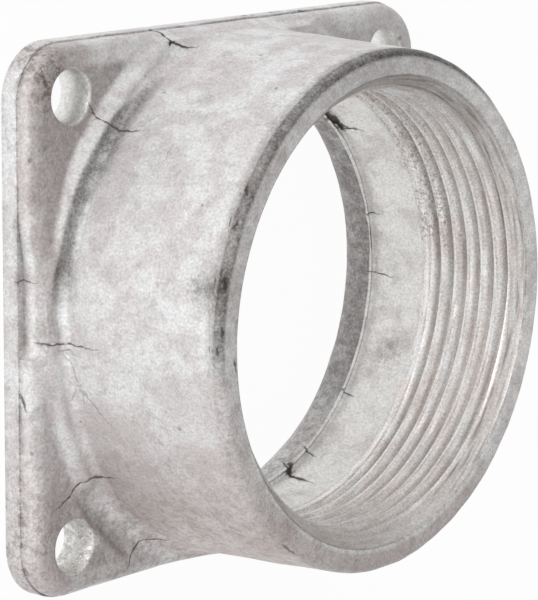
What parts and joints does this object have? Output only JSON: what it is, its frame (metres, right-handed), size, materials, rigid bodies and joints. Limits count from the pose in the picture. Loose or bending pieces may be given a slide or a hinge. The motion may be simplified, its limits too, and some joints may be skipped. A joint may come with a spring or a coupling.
{
  "type": "conduit hub",
  "caption": "Bolt-on cast conduit hub for an enclosure: a short threaded barrel on a rectangular flange with a screw hole in each corner.",
  "frame": {"origin": "centre of the flange's back face, on the barrel's axis", "axes": "+Z along the barrel's axis towards the mouth that takes the conduit, +X along the flange's longer side, +Y along its shorter side"},
  "size_m": [0.0786, 0.0706, 0.0303],
  "materials": {
    "cast_aluminium": "bare as-cast aluminium, mottled and finely grained, with a cut thread"
  },
  "bodies": {
    "root": {"hub_casting": "cast_aluminium"}
  },
  "joints": []
}
